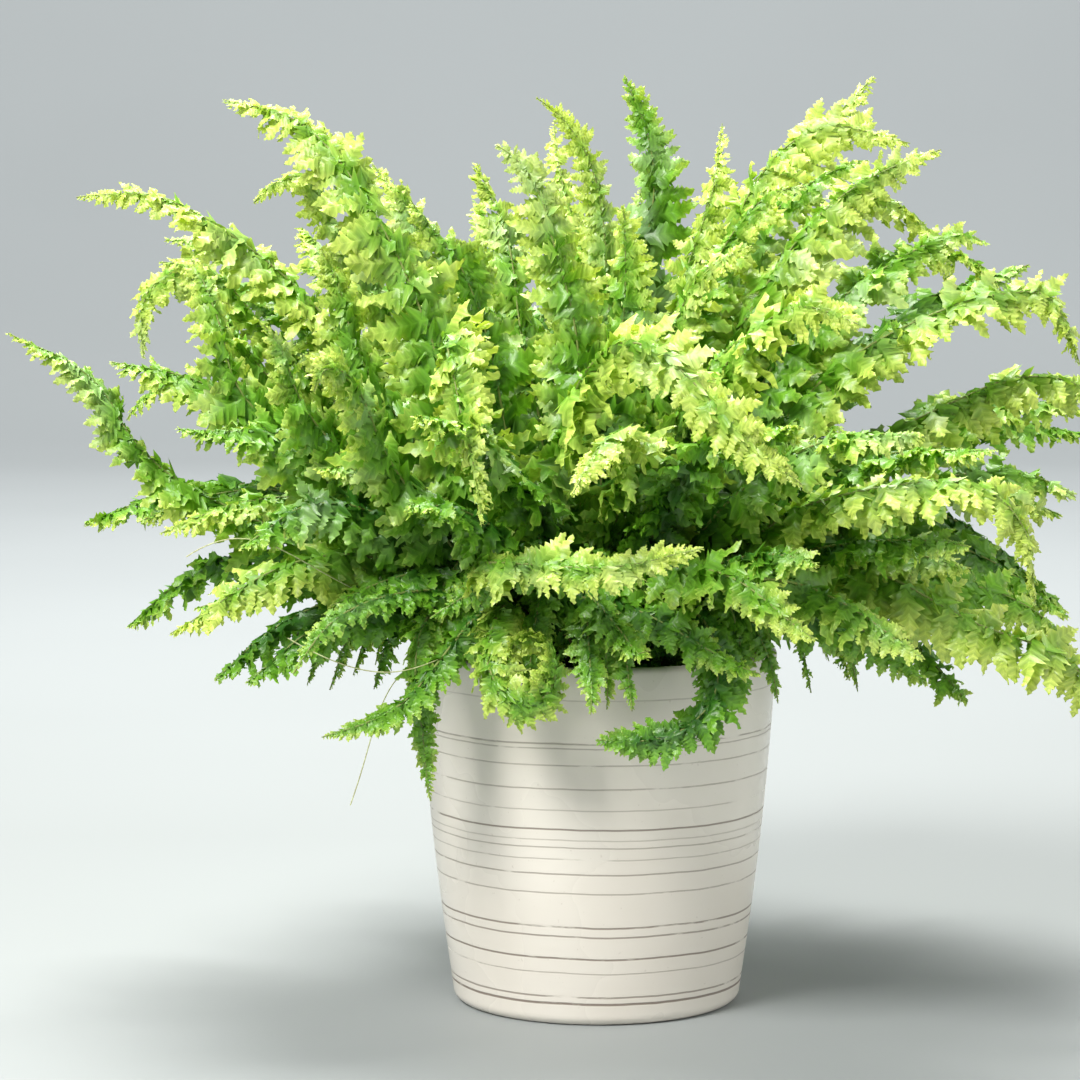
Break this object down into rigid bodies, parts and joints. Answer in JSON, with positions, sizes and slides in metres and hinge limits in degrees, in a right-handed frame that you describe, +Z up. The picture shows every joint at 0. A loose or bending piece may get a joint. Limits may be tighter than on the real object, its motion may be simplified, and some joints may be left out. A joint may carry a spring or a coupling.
{
  "type": "potted fern",
  "caption": "Potted fern with long arching fronds of paired leaflets that spill over a tapered glazed ceramic pot filled with soil",
  "frame": {"origin": "centre of the pot's foot, on the surface that the pot stands on", "axes": "+Z up along the pot's axis, -Y towards the front of the plant, +X to the viewer's right"},
  "size_m": [0.5244, 0.4639, 0.4392],
  "materials": {
    "cream_glaze": "gloss",
    "potting_soil": "matte",
    "new_frond": "satin",
    "green_frond": "satin",
    "old_frond": "satin"
  },
  "bodies": {
    "root": {"frond_01": "new_frond", "frond_02": "old_frond", "frond_03": "green_frond", "frond_04": "green_frond", "frond_05": "new_frond", "frond_06": "green_frond", "frond_07": "old_frond", "frond_08": "old_frond", "frond_09": "old_frond", "frond_10": "new_frond", "frond_11": "green_frond", "frond_12": "new_frond", "frond_13": "new_frond", "frond_14": "new_frond", "frond_15": "green_frond", "frond_16": "old_frond", "frond_17": "old_frond", "frond_18": "green_frond", "frond_19": "green_frond", "frond_20": "green_frond", "frond_21": "new_frond", "frond_22": "new_frond", "frond_23": "new_frond", "frond_24": "green_frond", "frond_25": "green_frond", "frond_26": "new_frond", "frond_27": "new_frond", "frond_28": "new_frond", "frond_29": "old_frond", "frond_30": "new_frond", "frond_31": "new_frond", "frond_32": "new_frond", "frond_33": "new_frond", "frond_34": "new_frond", "frond_35": "new_frond", "frond_36": "new_frond", "frond_37": "new_frond", "frond_38": "old_frond", "frond_39": "old_frond", "frond_40": "old_frond", "frond_41": "new_frond", "frond_42": "new_frond", "frond_43": "old_frond", "frond_44": "green_frond", "frond_45": "new_frond", "frond_46": "old_frond", "frond_47": "old_frond", "frond_48": "old_frond", "frond_49": "old_frond", "frond_50": "old_frond", "frond_51": "old_frond", "frond_52": "old_frond", "frond_53": "old_frond", "frond_54": "old_frond", "frond_55": "old_frond", "frond_56": "new_frond", "frond_57": "new_frond", "frond_58": "new_frond", "pot": "cream_glaze", "soil": "potting_soil"}
  },
  "joints": []
}
